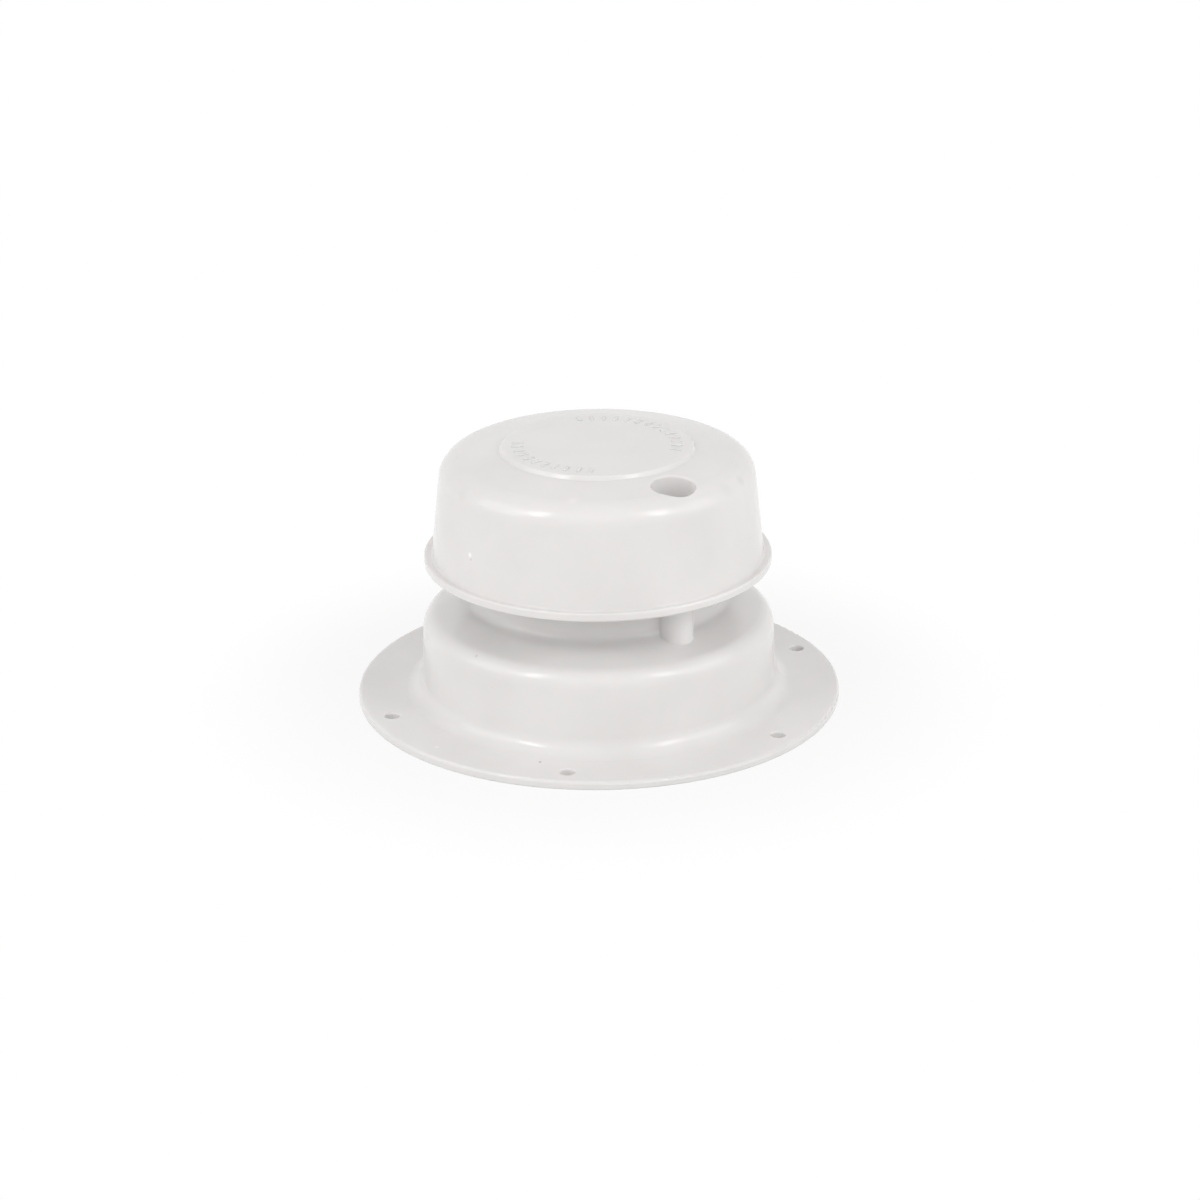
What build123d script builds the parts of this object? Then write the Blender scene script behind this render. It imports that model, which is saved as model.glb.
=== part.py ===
from build123d import *
import math
import os

# Plumbing vent cap for a roof: a flanged base with an open neck, and a round cap that stands over the
# neck on three bosses. Air leaves between the neck and the cap's skirt, and rain runs off the crown.
# Millimetres and degrees, +Z up. The origin is the centre of the flange's underside. The front is
# towards -Y, and angles are counted from the front towards +X.

# Both mouldings
WALL = 2.5
EDGE_BREAK = 0.4

# Base: flange
FLANGE_RADIUS = 88.9
FLANGE_THICKNESS = 3.2
FLANGE_EDGE_ROUND = 1.1
FLANGE_FILLET = 6.0
ROOF_HOLE_COUNT = 6
ROOF_HOLE_INSET = 7.9
ROOF_HOLE_RADIUS = 2.5
ROOF_HOLE_FIRST_ANGLE = -8.0

# Base: neck, shoulder and wall. The neck laps behind the cap's skirt.
NECK_RADIUS = 45.3
NECK_DRAFT = 0.5
NECK_FILLET = 4.0
NECK_LAP = 7.5
NECK_RIM_ROUND = 0.9
SHOULDER_WIDTH = 20.3
SHOULDER_HEIGHT = 32.0
SHOULDER_SLOPE = 18.0
SHOULDER_ROUND = 7.0
BASE_WALL_DRAFT = 2.6

# Base: bosses against the neck, one for the screw at the front and two for the cap's legs at the back
BOSS_STAND_OFF = 1.9
BOSS_RADIUS = 6.0
BOSS_FILLET = 0.5
BOSS_WALL = 2.5
SCREW_BOSS_ANGLE = 36.0
LEG_SPREAD = 40.0

# Cap: skirt and brim. The gap is over the shoulder's edge, and the clearance is from the neck.
VENT_GAP = 20.5
BRIM_WIDTH = 2.9
BRIM_THICKNESS = 3.0
BRIM_ROUND = 0.6
SKIRT_CLEARANCE = 15.3
SKIRT_DRAFT = 6.0
SKIRT_FILLET = 0.8

# Cap: crown, over the neck's top, and raised disc, which ends short of the well
CROWN_CLEARANCE = 34.7
CROWN_SLOPE = 7.4
CROWN_ROUND = 8.6
DISC_RAISE = 1.5
DISC_SLOPE = 0.8
DISC_SIDE_RUN = 1.0
DISC_EDGE_ROUND = 0.5
DISC_TO_WELL = 2.3

# Cap: screw well, and the legs with their pegs
WELL_MOUTH_HALF_WIDTH = 8.6
WELL_MOUTH_HALF_DEPTH = 7.4
WELL_MOUTH_ROUND = 0.8
WELL_FLOOR_RADIUS = 5.4
WELL_FLOOR = 2.4
WELL_WALL = 2.0
LEG_RADIUS = 4.6
LEG_DRAFT = 1.0
PEG_LENGTH = 6.0
PEG_CLEARANCE = 0.2

# Cap screw
SCREW_RADIUS = 1.9
SCREW_LENGTH = 16.0
SCREW_TIP = 2.0
SCREW_HEAD_RADIUS = 4.0
SCREW_HEAD_HEIGHT = 2.8
SCREW_HEAD_ROUND = 1.6
SCREW_RECESS_WIDTH = 1.1
SCREW_RECESS_LENGTH = 4.2
SCREW_RECESS_DEPTH = 1.7
SCREW_THREAD_CLEARANCE = 0.05
SCREW_HOLE_CLEARANCE = 0.3
PILOT_SPARE_DEPTH = 1.0

# Places worked out from the sizes above
ROOF_HOLE_CIRCLE = FLANGE_RADIUS - ROOF_HOLE_INSET
BASE_WALL_RADIUS = NECK_RADIUS + SHOULDER_WIDTH
BOSS_CIRCLE = NECK_RADIUS + BOSS_STAND_OFF
SKIRT_RADIUS = NECK_RADIUS + SKIRT_CLEARANCE
BRIM_RADIUS = SKIRT_RADIUS + BRIM_WIDTH
BRIM_BOTTOM = SHOULDER_HEIGHT + VENT_GAP
BRIM_TOP = BRIM_BOTTOM + BRIM_THICKNESS
NECK_TOP = BRIM_BOTTOM + NECK_LAP
CROWN_HEIGHT = NECK_TOP + CROWN_CLEARANCE
PILOT_RADIUS = SCREW_RADIUS + SCREW_THREAD_CLEARANCE
PILOT_DEPTH = SCREW_LENGTH - WELL_FLOOR + PILOT_SPARE_DEPTH
WELL_FLOOR_TOP = NECK_TOP + WELL_FLOOR
WELL_MOUTH_CIRCLE = BOSS_CIRCLE - (WELL_MOUTH_HALF_DEPTH - WELL_FLOOR_RADIUS)
DISC_TOP = CROWN_HEIGHT + DISC_RAISE
DISC_RADIUS = WELL_MOUTH_CIRCLE - WELL_MOUTH_HALF_DEPTH - DISC_TO_WELL - DISC_SIDE_RUN
DISC_SIDE_ANGLE = math.degrees(math.atan2(-DISC_RAISE, DISC_SIDE_RUN))
LEG_ANGLES = [SCREW_BOSS_ANGLE + 180 - LEG_SPREAD, SCREW_BOSS_ANGLE + 180 + LEG_SPREAD]
BOSS_ANGLES = [SCREW_BOSS_ANGLE] + LEG_ANGLES

# How far a cutting tool runs past what it cuts, and how near two places count as the same
OVERRUN = 5.0
SAME = 0.01


def around(radius, angle, height):
    """A place at a radius from the axis, an angle from the front and a height."""
    turn = math.radians(angle)
    return Location((radius * math.sin(turn), -radius * math.cos(turn), height))


def level(height):
    """A level line of a section, running outwards."""
    return (0.0, height), 0.0


def crossing(first, second):
    """Where two lines of a section meet. A line is a point (radius, height) and a direction."""
    (first_r, first_z), first_angle = first
    (second_r, second_z), second_angle = second
    first_run = Vector(math.cos(math.radians(first_angle)), math.sin(math.radians(first_angle)))
    second_run = Vector(math.cos(math.radians(second_angle)), math.sin(math.radians(second_angle)))
    between = Vector(second_r - first_r, second_z - first_z)
    distance = between.cross(second_run).Z / first_run.cross(second_run).Z
    return first_r + distance * first_run.X, first_z + distance * first_run.Y


def sunk(line, depth):
    """A line of a section moved into the wall, which is on its right-hand side."""
    (r, z), angle = line
    turn = math.radians(angle)
    return (r + depth * math.sin(turn), z - depth * math.cos(turn)), angle


def turned(corners):
    """A solid of revolution from the corners of its section: radius, height and rounding of each."""
    points = [(r, z) for r, z, rounding in corners]
    roundings = [rounding for r, z, rounding in corners]
    section = make_face(Plane.XZ * FilletPolyline(*points, radius=roundings, close=True))
    return revolve(section, Axis.Z)


def upright(radius, angle, low, high):
    """A round bar on the circle of bosses."""
    return around(BOSS_CIRCLE, angle, low) * Solid.make_cylinder(radius, high - low)


def distance_from_axis(edge, circle, angle):
    """How far the middle of an edge lies from an upright axis on a circle."""
    offset = edge.center() - around(circle, angle, 0).position
    return math.hypot(offset.X, offset.Y)


# The axis, and lines of the outside of each moulding's section, running outwards and down
AXIS_LINE = ((0.0, 0.0), 90.0)
BASE_WALL_LINE = ((BASE_WALL_RADIUS, FLANGE_THICKNESS), BASE_WALL_DRAFT - 90)
SHOULDER_LINE = (crossing(BASE_WALL_LINE, level(SHOULDER_HEIGHT)), -SHOULDER_SLOPE)
NECK_LINE = ((NECK_RADIUS, NECK_TOP), NECK_DRAFT - 90)
DISC_LINE = ((DISC_RADIUS, DISC_TOP), -DISC_SLOPE)
DISC_SIDE_LINE = ((DISC_RADIUS, DISC_TOP), DISC_SIDE_ANGLE)
CROWN_LINE = ((DISC_RADIUS + DISC_SIDE_RUN, CROWN_HEIGHT), -CROWN_SLOPE)
SKIRT_LINE = ((SKIRT_RADIUS, BRIM_TOP), SKIRT_DRAFT - 90)


def base_bends(depth):
    """The bends at the neck's foot and at the shoulder, at a depth in the base's wall."""
    neck = sunk(NECK_LINE, depth)
    shoulder = sunk(SHOULDER_LINE, depth)
    wall = sunk(BASE_WALL_LINE, depth)
    return [
        (*crossing(neck, shoulder), NECK_FILLET + depth),
        (*crossing(shoulder, wall), SHOULDER_ROUND - depth),
    ]


def cap_bends(depth):
    """The bends at the disc's lip and foot and at the edge of the crown, at a depth in the cap's wall."""
    disc = sunk(DISC_LINE, depth)
    disc_side = sunk(DISC_SIDE_LINE, depth)
    crown = sunk(CROWN_LINE, depth)
    skirt = sunk(SKIRT_LINE, depth)
    return [
        (*crossing(disc, disc_side), DISC_EDGE_ROUND),
        (*crossing(disc_side, crown), DISC_EDGE_ROUND),
        (*crossing(crown, skirt), CROWN_ROUND - depth),
    ]


def base_shell(top):
    """Flange, wall, shoulder and neck, turned as one wall, with the neck running up to a height."""
    inner_neck = sunk(NECK_LINE, WALL)
    inner_wall = sunk(BASE_WALL_LINE, WALL)
    outside = [
        (*crossing(NECK_LINE, level(top)), 0),
        *base_bends(0),
        (BASE_WALL_RADIUS, FLANGE_THICKNESS, FLANGE_FILLET),
        (FLANGE_RADIUS, FLANGE_THICKNESS, FLANGE_EDGE_ROUND),
        (FLANGE_RADIUS, 0, EDGE_BREAK),
    ]
    inside = [
        (*crossing(inner_wall, level(0)), FLANGE_FILLET + WALL),
        *reversed(base_bends(WALL)),
        (*crossing(inner_neck, level(top)), 0),
    ]
    return turned(outside + inside)


def inside_base_wall(top):
    """All that lies within the middle of the base's wall, up to a height."""
    middle = WALL / 2
    return turned([
        (0, top, 0),
        (*crossing(sunk(NECK_LINE, middle), level(top)), 0),
        *base_bends(middle),
        (*crossing(sunk(BASE_WALL_LINE, middle), level(0)), 0),
        (0, 0, 0),
    ])


def make_base():
    # The bosses grow out of the neck and shoulder. The neck and they start too tall, so that the roundings
    # along the bosses run out at the top, and are then cut level.
    tall = NECK_TOP + OVERRUN
    base = base_shell(tall)
    within = inside_base_wall(tall + OVERRUN)
    for angle in BOSS_ANGLES:
        base += upright(BOSS_RADIUS, angle, 0, tall) - within
    creases = []
    for edge in base.edges():
        below_top = edge.bounding_box().min.Z < tall - SAME
        reach = min(distance_from_axis(edge, BOSS_CIRCLE, angle) for angle in BOSS_ANGLES)
        if below_top and abs(reach - BOSS_RADIUS) < SAME:
            creases.append(edge)
    base = fillet(creases, BOSS_FILLET)
    base -= Pos(0, 0, NECK_TOP) * Solid.make_cylinder(FLANGE_RADIUS, 2 * OVERRUN)
    rim = [edge for edge in base.edges() if edge.bounding_box().min.Z > NECK_TOP - SAME]
    base = fillet(rim, NECK_RIM_ROUND)
    # Each boss has a pilot hole from the top, and is cored from below to an even wall.
    pilot_bottom = NECK_TOP - PILOT_DEPTH
    for angle in BOSS_ANGLES:
        base -= upright(PILOT_RADIUS, angle, pilot_bottom, NECK_TOP + OVERRUN)
        base -= upright(BOSS_RADIUS - BOSS_WALL, angle, 0, pilot_bottom - BOSS_WALL)
    hole = Solid.make_cylinder(ROOF_HOLE_RADIUS, FLANGE_THICKNESS + 2 * OVERRUN)
    bevel = Solid.make_cone(ROOF_HOLE_RADIUS, ROOF_HOLE_RADIUS + 2 * EDGE_BREAK, 2 * EDGE_BREAK)
    for index in range(ROOF_HOLE_COUNT):
        angle = ROOF_HOLE_FIRST_ANGLE + index * 360 / ROOF_HOLE_COUNT
        base -= around(ROOF_HOLE_CIRCLE, angle, -OVERRUN) * hole
        base -= around(ROOF_HOLE_CIRCLE, angle, FLANGE_THICKNESS - EDGE_BREAK) * bevel
    return base


def cap_shell():
    """Disc, crown, skirt and brim, turned as one wall."""
    inner_skirt = sunk(SKIRT_LINE, WALL)
    outside = [
        (*crossing(AXIS_LINE, DISC_LINE), 0),
        *cap_bends(0),
        (SKIRT_RADIUS, BRIM_TOP, SKIRT_FILLET),
        (BRIM_RADIUS, BRIM_TOP, BRIM_ROUND),
        (BRIM_RADIUS, BRIM_BOTTOM, BRIM_ROUND),
    ]
    inside = [
        (*crossing(inner_skirt, level(BRIM_BOTTOM)), EDGE_BREAK),
        *reversed(cap_bends(WALL)),
        (*crossing(AXIS_LINE, sunk(DISC_LINE, WALL)), 0),
    ]
    return turned(outside + inside)


def inside_cap_wall():
    """All that lies above the bosses and within the middle of the cap's wall."""
    middle = WALL / 2
    skirt = sunk(SKIRT_LINE, middle)
    return turned([
        (*crossing(AXIS_LINE, sunk(DISC_LINE, middle)), 0),
        *cap_bends(middle),
        (*crossing(skirt, level(NECK_TOP)), 0),
        (0, NECK_TOP, 0),
    ])


def well(extra, low):
    """The space of the screw well, from a round foot to an oval mouth, widened all round by an extra.
    Its outer side is upright, and the others lean back.
    """
    turn = Rot(0, 0, SCREW_BOSS_ANGLE)
    circle = turn * Circle(WELL_FLOOR_RADIUS + extra)
    oval = turn * Ellipse(WELL_MOUTH_HALF_WIDTH + extra, WELL_MOUTH_HALF_DEPTH + extra)
    foot = around(BOSS_CIRCLE, SCREW_BOSS_ANGLE, low) * circle
    mouth = around(WELL_MOUTH_CIRCLE, SCREW_BOSS_ANGLE, DISC_TOP) * oval
    return loft([foot, mouth])


def leg(angle):
    """A leg that widens up to the crown, with the peg that plugs it into its boss."""
    height = DISC_TOP - NECK_TOP
    top_radius = LEG_RADIUS + height * math.tan(math.radians(LEG_DRAFT))
    bar = around(BOSS_CIRCLE, angle, NECK_TOP) * Solid.make_cone(LEG_RADIUS, top_radius, height)
    peg = upright(PILOT_RADIUS - PEG_CLEARANCE, angle, NECK_TOP - PEG_LENGTH, NECK_TOP + PEG_LENGTH)
    return (bar & inside_cap_wall()) + peg


def make_cap():
    cap = cap_shell() + (well(WELL_WALL, NECK_TOP) & inside_cap_wall())
    for angle in LEG_ANGLES:
        cap += leg(angle)
    cap -= well(0, WELL_FLOOR_TOP)
    # The mouth's edges are those of the well that lie on the outer skin.
    under_skin = inside_cap_wall()
    mouth = []
    for edge in cap.edges():
        above_floor = edge.bounding_box().min.Z > WELL_FLOOR_TOP + SAME
        reach = distance_from_axis(edge, WELL_MOUTH_CIRCLE, SCREW_BOSS_ANGLE)
        on_skin = not under_skin.is_inside(edge.center())
        if above_floor and on_skin and reach < WELL_MOUTH_HALF_WIDTH + SAME:
            mouth.append(edge)
    cap = fillet(mouth, WELL_MOUTH_ROUND)
    screw_hole = SCREW_RADIUS + SCREW_HOLE_CLEARANCE
    return cap - upright(screw_hole, SCREW_BOSS_ANGLE, NECK_TOP - OVERRUN, WELL_FLOOR_TOP + OVERRUN)


def make_cap_screw():
    """Pan-head screw, seated on the floor of the well, with a cross recess."""
    head_top = WELL_FLOOR_TOP + SCREW_HEAD_HEIGHT
    tip = WELL_FLOOR_TOP - SCREW_LENGTH
    screw = turned([
        (0, head_top, 0),
        (SCREW_HEAD_RADIUS, head_top, SCREW_HEAD_ROUND),
        (SCREW_HEAD_RADIUS, WELL_FLOOR_TOP, 0),
        (SCREW_RADIUS, WELL_FLOOR_TOP, 0),
        (SCREW_RADIUS, tip + SCREW_TIP, 0),
        (0, tip, 0),
    ])
    slot = Pos(0, 0, head_top) * Box(SCREW_RECESS_LENGTH, SCREW_RECESS_WIDTH, 2 * SCREW_RECESS_DEPTH)
    screw -= slot
    screw -= Rot(0, 0, 90) * slot
    return around(BOSS_CIRCLE, SCREW_BOSS_ANGLE, 0) * screw


os.makedirs("parts", exist_ok=True)
for name, part in {"base": make_base(), "cap": make_cap(), "cap_screw": make_cap_screw()}.items():
    export_step(part, f"parts/{name}.step")
    print(name, "volume", round(part.volume), "solids", len(part.solids()), "valid", part.is_valid)
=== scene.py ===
# %% [markdown]
# # A roof vent cap for a plumbing pipe
#
# The object is a pair of white mouldings. The base screws down on a roof by its flange, and the cap
# stands over the base's open neck, so that air gets out all round and rain stays out.
# CAD has already made every shape that has a real size, and this lesson dresses it in Blender:
# white plastic with the marks of its mould and of handling and a little painted light and shade,
# a steel screw, raised marks on the disc, and then the floor, the lamps and the camera.
# The first cell loads the imported CAD model and prints the size of each piece.

# %% Load the CAD model
import math

import bpy
from mathutils import Euler, Matrix, Vector


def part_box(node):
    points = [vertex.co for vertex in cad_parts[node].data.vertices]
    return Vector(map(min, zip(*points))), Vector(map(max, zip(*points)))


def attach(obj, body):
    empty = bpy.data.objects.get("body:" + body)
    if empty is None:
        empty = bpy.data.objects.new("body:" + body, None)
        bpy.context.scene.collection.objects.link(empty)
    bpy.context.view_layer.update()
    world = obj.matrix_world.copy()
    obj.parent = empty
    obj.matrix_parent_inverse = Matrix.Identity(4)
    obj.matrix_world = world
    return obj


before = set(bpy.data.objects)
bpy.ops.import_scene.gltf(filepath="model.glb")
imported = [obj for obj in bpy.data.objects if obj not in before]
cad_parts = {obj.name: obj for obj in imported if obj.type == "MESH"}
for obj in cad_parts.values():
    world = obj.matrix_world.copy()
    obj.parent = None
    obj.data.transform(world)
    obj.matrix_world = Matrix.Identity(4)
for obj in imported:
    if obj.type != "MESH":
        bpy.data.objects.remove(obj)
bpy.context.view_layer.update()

MM = 0.001
for name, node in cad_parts.items():
    low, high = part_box(name)
    size = [round((b - a) / MM, 1) for a, b in zip(low, high)]
    print("node", name, "size in mm", size, "triangles", len(node.data.polygons))

# %% [markdown]
# ## Helpers for colours and nodes
#
# A colour picked from a picture is an sRGB value, and Blender's shaders work with linear light.
# One function turns the usual six hex digits into linear light, so that every colour below can be
# written the way a colour picker shows it.
# A second function adds one node, sets its values and links its inputs. With it a material reads
# from top to bottom, like a recipe. A third starts a material with an empty node tree.

# %% Colour and node helpers
def linear(code):
    """Linear red, green, blue and alpha of an sRGB hex code such as #808080."""
    channels = []
    for start in (1, 3, 5):
        value = int(code[start:start + 2], 16) / 255
        channels.append(value / 12.92 if value <= 0.04045 else ((value + 0.055) / 1.055) ** 2.4)
    return (*channels, 1.0)


def add(tree, kind, settings=None, values=None, links=None):
    """Adds a node. Settings are its options, values its unlinked sockets, links its linked sockets."""
    node = tree.nodes.new(kind)
    for key, value in (settings or {}).items():
        setattr(node, key, value)
    for key, value in (values or {}).items():
        node.inputs[key].default_value = value
    for key, socket in (links or {}).items():
        tree.links.new(socket, node.inputs[key])
    return node


def new_material(name):
    """An empty material and its node tree."""
    material = bpy.data.materials.new(name)
    material.use_nodes = True
    material.node_tree.nodes.clear()
    return material, material.node_tree


print("mid grey #808080 in linear light", [round(c, 3) for c in linear("#808080")])

# %% [markdown]
# ## Marks of the mould and of handling, and a painted highlight and shade
#
# No moulding is spotless. The base has a dark speck, a pale speck and a nick. The cap has a tiny nib,
# whose lit top is a painted highlight and whose underside is painted shade, and a few soft darker
# and lighter patches.
# They could be painted in a picture that is wrapped round the surface, but for so few it is quicker to
# list each one. A mark is a small ball in Object coordinates: where the surface passes through
# the ball it takes the mark's colour, which fades out towards the edge. So each mark stays at its place.

# %% Marks and how they are laid on a colour
# A mark: centre and radius in millimetres, share of the radius that fades, colour and strength.
CAP_MARKS_AND_PAINTED_LIGHT = [
    # A tiny nib on the cap's side: its lit top is a painted highlight, whiter than the plastic.
    ((-45.2, -38.3, 68.4), 1.1, 0.5, "#FDFDFB", 1.0),
    # Just below the nib, its shade is painted darker.
    ((-44.7, -38.8, 66.9), 0.7, 0.8, "#C4C1BB", 0.7),
    # Three soft darker patches on the crown's rounded edge, and one soft lighter patch on its front.
    ((51.1, -22.3, 89.6), 3.2, 0.9, "#C6C4BF", 0.25),
    ((45.0, -31.6, 90.3), 5.0, 1.0, "#D2D0CB", 0.16),
    ((-47.5, -30.2, 88.8), 4.5, 1.0, "#D2D0CB", 0.14),
    ((-8.5, -49.5, 92.8), 3.0, 1.0, "#F1F0ED", 0.60),
]
BASE_MARKS = [
    ((-20.9, -71.8, 3.2), 0.65, 0.4, "#8B857C", 0.65),
    ((-43.5, -44.2, 32.2), 0.9, 0.6, "#B5B0A8", 0.3),
    ((-57.7, -58.3, 3.2), 0.9, 0.6, "#F8F7F4", 0.8),
]


def marked(tree, place, colour, mark):
    """Lays one mark over a colour and gives back the new colour."""
    centre, radius, soft, shade, strength = mark
    distance = add(tree, "ShaderNodeVectorMath", {"operation": "DISTANCE"},
                   {1: [c * MM for c in centre]}, {0: place})
    fade = add(tree, "ShaderNodeMapRange", {"interpolation_type": "SMOOTHSTEP"},
               {"From Min": (1 - soft) * radius * MM, "From Max": radius * MM,
                "To Min": strength, "To Max": 0.0},
               {"Value": distance.outputs["Value"]})
    mix = add(tree, "ShaderNodeMix", {"data_type": "RGBA"}, {"B": linear(shade)},
              {"Factor": fade.outputs["Result"], "A": colour})
    return mix.outputs["Result"]


print("marks on the cap", len(CAP_MARKS_AND_PAINTED_LIGHT), "and on the base", len(BASE_MARKS))

# %% [markdown]
# ## White ABS, injection moulded
#
# Both mouldings are ABS: a hard, nearly opaque plastic with a soft gloss and an index of refraction of
# 1.53. A flat white would look like paint on a screen, so the real skin's faults are put back.
# The melt sets unevenly, so the white is a little cloudy over a few centimetres.
# The mould was polished by hand, so the skin has a faint waviness that wobbles each highlight.
# A thin wall also lets a little light through, red the furthest, which warms the shaded places.
# The two mouldings share one function and differ only in their marks and in how far edges are evened out.

# %% White ABS
WHITE = "#EAE8E7"
CLOUD = "#E6E4E3"
CLOUD_SIZE_MM = 34.0
CLOUD_FROM = 0.38
CLOUD_TO = 0.66
WAVE_SIZE_MM = 9.0
WAVE_HEIGHT_MM = 0.03
PEEL_SIZE_MM = 1.3
PEEL_HEIGHT_MM = 0.006
SMOOTHEST = 0.14
ROUGHEST = 0.21
GLOW_SHARE = 0.35
GLOW_DEPTH_MM = 2.5
GLOW_REACH = (1.0, 0.8, 0.78)
EDGE_SAMPLES = 6
CAP_EDGE_MM = 0.2
BASE_EDGE_MM = 0.6


def white_abs(name, marks, edge_mm):
    """Injection-moulded white ABS: cloudy white, softly glossy, faintly wavy, with the marks and painted
    light it is given.
    """
    material, tree = new_material(name)
    place = add(tree, "ShaderNodeTexCoord").outputs["Object"]
    # Noise has about one blob per 1 / scale, so a size in millimetres becomes a scale per metre.
    cloud = add(tree, "ShaderNodeTexNoise", {}, {"Scale": 1 / (CLOUD_SIZE_MM * MM), "Detail": 3.0},
                {"Vector": place})
    amount = add(tree, "ShaderNodeMapRange", {}, {"From Min": CLOUD_FROM, "From Max": CLOUD_TO},
                 {"Value": cloud.outputs["Fac"]})
    colour = add(tree, "ShaderNodeMix", {"data_type": "RGBA"}, {"A": linear(WHITE), "B": linear(CLOUD)},
                 {"Factor": amount.outputs["Result"]}).outputs["Result"]
    for mark in marks:
        colour = marked(tree, place, colour, mark)
    wave = add(tree, "ShaderNodeTexNoise", {}, {"Scale": 1 / (WAVE_SIZE_MM * MM), "Detail": 1.0},
               {"Vector": place})
    # The polished skin's own peel is finer than this and would not show, so it is drawn coarser.
    peel = add(tree, "ShaderNodeTexNoise", {}, {"Scale": 1 / (PEEL_SIZE_MM * MM), "Detail": 2.0},
               {"Vector": place})
    gloss = add(tree, "ShaderNodeMapRange", {}, {"To Min": SMOOTHEST, "To Max": ROUGHEST},
                {"Value": wave.outputs["Fac"]})
    # Long thin triangles make a rounded edge look toothed. Averaging the normals near it evens that out.
    edges = add(tree, "ShaderNodeBevel", {"samples": EDGE_SAMPLES}, {"Radius": edge_mm * MM})
    waves = add(tree, "ShaderNodeBump", {}, {"Strength": 1.0, "Distance": WAVE_HEIGHT_MM * MM},
                {"Height": wave.outputs["Fac"], "Normal": edges.outputs["Normal"]})
    skin = add(tree, "ShaderNodeBump", {}, {"Strength": 1.0, "Distance": PEEL_HEIGHT_MM * MM},
               {"Height": peel.outputs["Fac"], "Normal": waves.outputs["Normal"]})
    shader = add(tree, "ShaderNodeBsdfPrincipled", {},
                 {"IOR": 1.53, "Subsurface Weight": GLOW_SHARE, "Subsurface Radius": GLOW_REACH,
                  "Subsurface Scale": GLOW_DEPTH_MM * MM},
                 {"Base Color": colour, "Roughness": gloss.outputs["Result"],
                  "Normal": skin.outputs["Normal"]})
    add(tree, "ShaderNodeOutputMaterial", {}, {}, {"Surface": shader.outputs["BSDF"]})
    return material


cap_plastic = white_abs("white_abs_cap", CAP_MARKS_AND_PAINTED_LIGHT, CAP_EDGE_MM)
base_plastic = white_abs("white_abs_base", BASE_MARKS, BASE_EDGE_MM)
print("made", cap_plastic.name, "and", base_plastic.name, "with clouds of", CLOUD_SIZE_MM, "mm")

# %% [markdown]
# ## Stainless steel, cold headed
#
# The screw at the foot of the well is stainless steel. Its head was struck cold in a die and then
# tumbled, which leaves a bright metal with fine random dents and no brush direction.
# A metal has no colour of its own below the surface, so the shader is fully metallic, and the noise
# goes to roughness and to a little bump.

# %% Stainless steel
STEEL = "#C9C8C5"
DENT_SIZE_MM = 0.7
DENT_DEPTH_MM = 0.02
STEEL_SMOOTHEST = 0.22
STEEL_ROUGHEST = 0.42

screw_steel, tree = new_material("stainless_steel_tumbled")
place = add(tree, "ShaderNodeTexCoord").outputs["Object"]
dents = add(tree, "ShaderNodeTexNoise", {}, {"Scale": 1 / (DENT_SIZE_MM * MM), "Detail": 3.0},
            {"Vector": place})
sheen = add(tree, "ShaderNodeMapRange", {}, {"To Min": STEEL_SMOOTHEST, "To Max": STEEL_ROUGHEST},
            {"Value": dents.outputs["Fac"]})
bump = add(tree, "ShaderNodeBump", {}, {"Strength": 1.0, "Distance": DENT_DEPTH_MM * MM},
           {"Height": dents.outputs["Fac"]})
steel = add(tree, "ShaderNodeBsdfPrincipled", {}, {"Base Color": linear(STEEL), "Metallic": 1.0},
            {"Roughness": sheen.outputs["Result"], "Normal": bump.outputs["Normal"]})
add(tree, "ShaderNodeOutputMaterial", {}, {}, {"Surface": steel.outputs["BSDF"]})
print("made", screw_steel.name, "with dents of", DENT_SIZE_MM, "mm")

# %% [markdown]
# ## Materials onto the CAD pieces
#
# The CAD pieces keep their meshes. Only the material in their slot changes, so the shapes that were
# measured are the shapes that render.

# %% Assign the materials
for name, material in (("base", base_plastic), ("cap", cap_plastic), ("cap_screw", screw_steel)):
    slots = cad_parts[name].material_slots
    slots[0].material = material
    print(name, "wears", material.name, "in", len(slots), "slot")

# %% [markdown]
# ## Raised marks on the disc
#
# The disc on the crown carries two arcs of small raised bars, moulded with it.
# One bar is a cube that is scaled to size, rounded with a bevel in edit mode, and leaned to the
# slope of the disc. Its root is sunk a little, so that no gap shows under it.
# An operator works on everything that is selected, so everything is deselected first.

# %% One bar
BAR_CIRCLE_MM = 28.9
BAR_LENGTH_MM = 4.0
BAR_WIDTH_MM = 1.2
BAR_RAISE_MM = 0.37
BAR_ROOT_MM = 0.25
BAR_EDGE_MM = 0.16
DISC_SLOPE = math.radians(0.8)

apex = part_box("cap")[1].z
surface = apex - BAR_CIRCLE_MM * MM * math.tan(DISC_SLOPE)
height = (BAR_RAISE_MM + BAR_ROOT_MM) * MM
bpy.ops.object.select_all(action="DESELECT")
bpy.ops.mesh.primitive_cube_add(size=1.0)
bar = bpy.context.object
bar.scale = (BAR_WIDTH_MM * MM, BAR_LENGTH_MM * MM, height)
bpy.ops.object.transform_apply(location=False, rotation=False, scale=True)
bpy.ops.object.mode_set(mode="EDIT")
bpy.ops.mesh.select_all(action="SELECT")
bpy.ops.mesh.bevel(offset=BAR_EDGE_MM * MM, segments=3, affect="EDGES")
bpy.ops.object.mode_set(mode="OBJECT")
bar.rotation_euler = (DISC_SLOPE, 0.0, 0.0)
bar.location = (0.0, -BAR_CIRCLE_MM * MM, surface + (BAR_RAISE_MM - BAR_ROOT_MM) / 2 * MM)
bpy.ops.object.transform_apply(location=True, rotation=True, scale=False)
print("one bar has", len(bar.data.polygons), "faces and stands", BAR_RAISE_MM, "mm proud")

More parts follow.
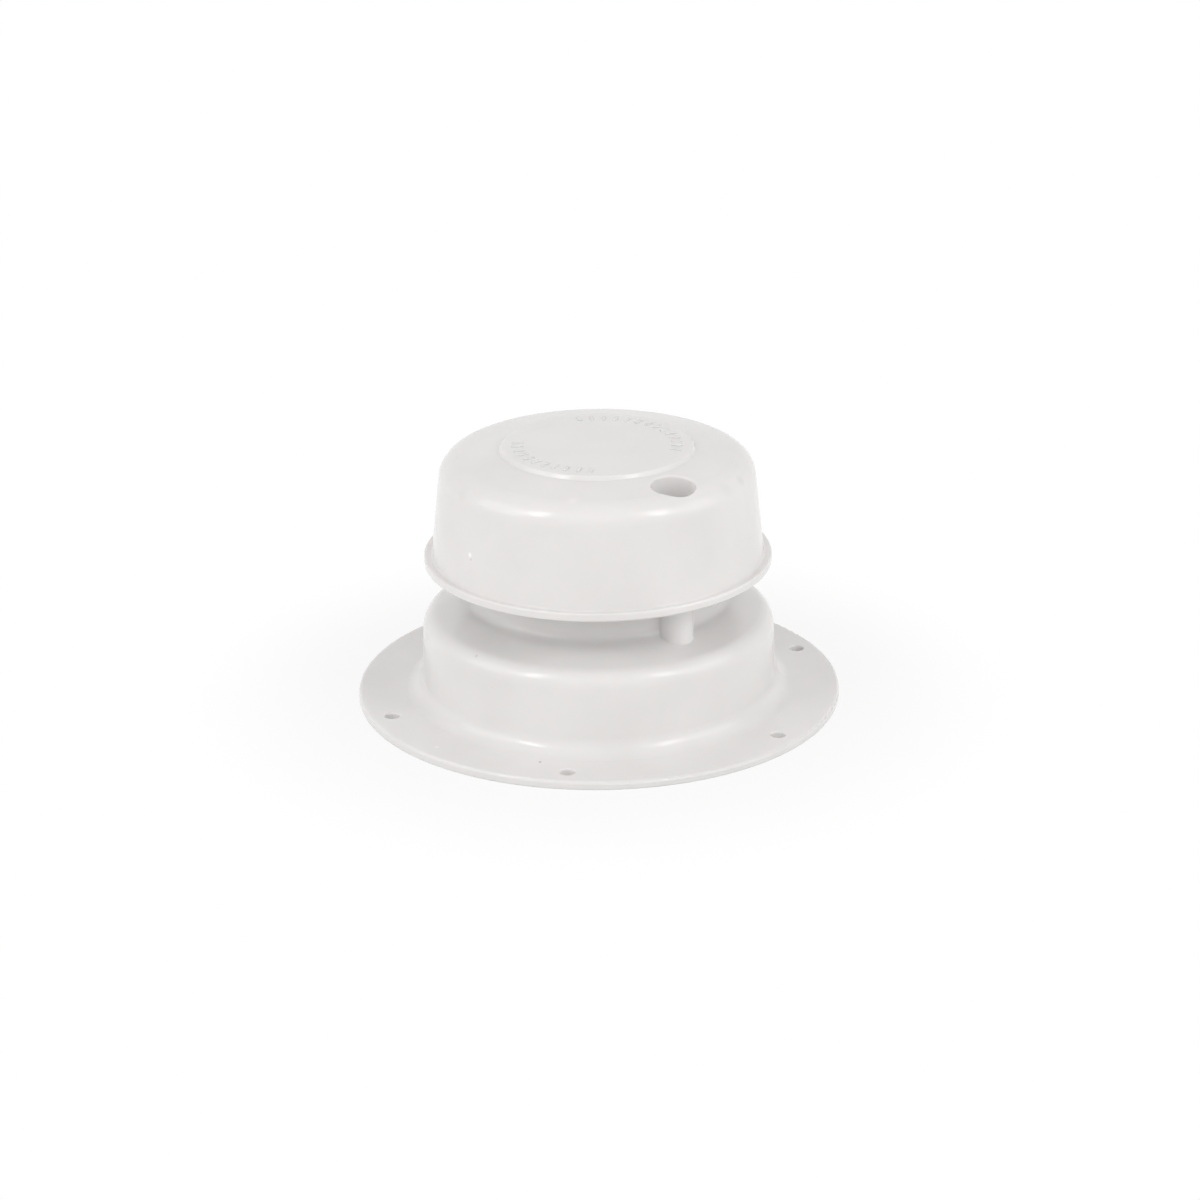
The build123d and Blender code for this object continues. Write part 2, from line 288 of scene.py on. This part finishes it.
# %% [markdown]
# ## The bars in two arcs
#
# An array modifier could repeat the bar, but it would leave no gap between the arcs.
# So copies are made in a loop and turned round the axis to their places, each turn is applied to its
# mesh, and the copies are joined to one piece, which rides on the cap's body and wears its plastic.

# %% Copies round the disc
# Each arc has a first angle in degrees, counted from the front towards the right, and a number of bars.
BAR_ARCS = [(-94, 11), (76, 14)]
BAR_STEP = 9
SMOOTH_BELOW = math.radians(40)

bars = []
for first, count in BAR_ARCS:
    for index in range(count):
        bpy.ops.object.select_all(action="DESELECT")
        bar.select_set(True)
        bpy.context.view_layer.objects.active = bar
        bpy.ops.object.duplicate()
        copy = bpy.context.object
        copy.rotation_euler = (0.0, 0.0, math.radians(first + index * BAR_STEP))
        bpy.ops.object.transform_apply(location=False, rotation=True, scale=False)
        bars.append(copy)
bpy.data.objects.remove(bar)
for piece in bars:
    piece.select_set(True)
bpy.context.view_layer.objects.active = bars[0]
bpy.ops.object.join()
bpy.ops.object.shade_smooth_by_angle(angle=SMOOTH_BELOW)
disc_marks = bpy.context.object
disc_marks.name = "disc_marks"
disc_marks.data.materials.append(cap_plastic)
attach(disc_marks, "root")
print("bars", len(bars), "triangles", sum(len(f.vertices) - 2 for f in disc_marks.data.polygons))

# %% [markdown]
# ## Floor
#
# The floor is one large pale plane. It lights the object and takes its shadow like any matte board.
# For the rays that the camera and mirrors see, plain white is mixed over it, so that the picture's
# background is white without any more light on the object.
# Round the object the board shows through, and the shadow with it. Further out it is all white.

# %% Pale floor
FLOOR_SIZE = 12.0
FLOOR_DROP_MM = 0.02
BOARD = "#E7E7E6"
NEAR_WHITE = 0.85
FAR_WHITE = 1.0
NEAR_RADIUS = 0.09
FAR_RADIUS = 0.16

bpy.ops.object.select_all(action="DESELECT")
bpy.ops.mesh.primitive_plane_add(size=FLOOR_SIZE, location=(0.0, 0.0, -FLOOR_DROP_MM * MM))
floor = bpy.context.object
floor.name = "floor"
pale, tree = new_material("pale_matte_board")
matte = add(tree, "ShaderNodeBsdfDiffuse", {}, {"Color": linear(BOARD)})
path = add(tree, "ShaderNodeLightPath")
seen = add(tree, "ShaderNodeMath", {"operation": "MAXIMUM"}, {},
           {0: path.outputs["Is Camera Ray"], 1: path.outputs["Is Glossy Ray"]})
seen = add(tree, "ShaderNodeMath", {"operation": "MAXIMUM"}, {},
           {0: seen.outputs["Value"], 1: path.outputs["Is Transmission Ray"]})
place = add(tree, "ShaderNodeTexCoord").outputs["Object"]
radius = add(tree, "ShaderNodeVectorMath", {"operation": "LENGTH"}, {}, {0: place})
rise = add(tree, "ShaderNodeMapRange", {"interpolation_type": "SMOOTHSTEP"},
           {"From Min": NEAR_RADIUS, "From Max": FAR_RADIUS, "To Min": NEAR_WHITE, "To Max": FAR_WHITE},
           {"Value": radius.outputs["Value"]})
share = add(tree, "ShaderNodeMath", {"operation": "MULTIPLY"}, {},
            {0: seen.outputs["Value"], 1: rise.outputs["Result"]})
glow = add(tree, "ShaderNodeEmission", {}, {"Color": (1.0, 1.0, 1.0, 1.0), "Strength": 1.0})
both = add(tree, "ShaderNodeMixShader", {}, {},
           {0: share.outputs["Value"], 1: matte.outputs["BSDF"], 2: glow.outputs["Emission"]})
add(tree, "ShaderNodeOutputMaterial", {}, {}, {"Surface": both.outputs["Shader"]})
floor.data.materials.append(pale)
print("floor", floor.dimensions.x, "m wide")

# %% [markdown]
# ## The room's light
#
# White walls round a table send most of their light in low, so the world is brighter at the horizon than
# overhead. That is why the upright walls look a little lighter than the top.
# Only the light that falls on the object has this gradient. The camera and mirrors see plain white.

# %% World
HORIZON_FILL = 0.91
ZENITH_FILL = 0.43
FILL_TINT = (1.0, 0.994, 0.990, 1.0)

world = bpy.data.worlds.new("studio")
bpy.context.scene.world = world
world.use_nodes = True
tree = world.node_tree
tree.nodes.clear()
path = add(tree, "ShaderNodeLightPath")
seen = add(tree, "ShaderNodeMath", {"operation": "MAXIMUM"}, {},
           {0: path.outputs["Is Camera Ray"], 1: path.outputs["Is Glossy Ray"]})
seen = add(tree, "ShaderNodeMath", {"operation": "MAXIMUM"}, {},
           {0: seen.outputs["Value"], 1: path.outputs["Is Transmission Ray"]})
toward = add(tree, "ShaderNodeSeparateXYZ", {}, {},
             {0: add(tree, "ShaderNodeTexCoord").outputs["Generated"]})
climb = add(tree, "ShaderNodeMapRange", {}, {"To Min": HORIZON_FILL, "To Max": ZENITH_FILL},
            {"Value": toward.outputs["Z"]})
fill = add(tree, "ShaderNodeBackground", {}, {"Color": FILL_TINT}, {"Strength": climb.outputs["Result"]})
white = add(tree, "ShaderNodeBackground", {}, {"Color": (1.0, 1.0, 1.0, 1.0), "Strength": 1.0})
mix = add(tree, "ShaderNodeMixShader", {}, {},
          {0: seen.outputs["Value"], 1: fill.outputs["Background"], 2: white.outputs["Background"]})
add(tree, "ShaderNodeOutputWorld", {}, {}, {"Surface": mix.outputs["Shader"]})
print("world light", HORIZON_FILL, "at the horizon and", ZENITH_FILL, "overhead")

# %% [markdown]
# ## Lamps
#
# The highlights tell where the lamps stood: each rounded edge shows one on the left and one on the
# right. On each side a soft box gives the broad light, and a narrow lamp nearer the front, the core,
# gives the crisp part of the highlight. A wide, weak box in front lightens the walls between them.
# A lamp is placed by its direction and distance from the object, the way a photographer thinks of it.

# %% Lamps
AIM = Vector((0.0, 0.0, 0.05))


def soft_box(name, azimuth, elevation, distance, width, height, power):
    """A rectangular lamp that faces the object. Azimuth counts from the front towards the right."""
    a, e = math.radians(azimuth), math.radians(elevation)
    away = Vector((math.sin(a) * math.cos(e), -math.cos(a) * math.cos(e), math.sin(e)))
    bpy.ops.object.light_add(type="AREA", location=AIM + away * distance)
    lamp = bpy.context.object
    lamp.name = name
    lamp.rotation_euler = away.to_track_quat("Z", "Y").to_euler()
    lamp.data.shape = "RECTANGLE"
    lamp.data.size = width
    lamp.data.size_y = height
    lamp.data.energy = power
    return lamp


lamps = [
    soft_box("left_soft_box", -74, 28, 1.2, 0.8, 0.7, 2.1),
    soft_box("right_soft_box", 74, 28, 1.2, 0.8, 0.7, 2.1),
    soft_box("left_core", -47, 38, 1.1, 0.20, 0.46, 1.55),
    soft_box("right_core", 47, 38, 1.1, 0.20, 0.46, 1.45),
    soft_box("front_soft_box", 4, 40, 1.6, 1.8, 0.9, 1.4),
]
for lamp in lamps:
    print(lamp.name, "power", round(lamp.data.energy, 2), "W")

# %% [markdown]
# ## Camera
#
# The camera was worked out from the circles in the photograph: the flange, the brim and the disc are
# round, so the shape of their ellipses gives the height of the camera and its distance.
# The picture is square, and the camera is turned by half a degree about its own axis.

# %% Camera
ELEVATION = math.radians(21.72)
ROLL = math.radians(-0.477)
DISTANCE = 1.2
TARGET_HEIGHT = 0.035616
SIDE_STEP = 0.000614
SENSOR_MM = 36.0
FOCAL_PIXELS = 3262.6
PICTURE_PIXELS = 1200

bpy.ops.object.camera_add()
camera = bpy.context.object
camera.name = "camera"
camera.data.sensor_width = SENSOR_MM
camera.data.lens = SENSOR_MM * FOCAL_PIXELS / PICTURE_PIXELS
back = Vector((0.0, -math.cos(ELEVATION), math.sin(ELEVATION)))
camera.location = Vector((SIDE_STEP, 0.0, TARGET_HEIGHT)) + back * DISTANCE
tilt = Euler((math.radians(90) - ELEVATION, 0.0, 0.0)).to_matrix()
camera.rotation_euler = (tilt @ Matrix.Rotation(ROLL, 3, "Z")).to_euler()
bpy.context.scene.camera = camera
bpy.context.scene.view_settings.view_transform = "Standard"
print("lens", round(camera.data.lens, 1), "mm at", DISTANCE, "m")
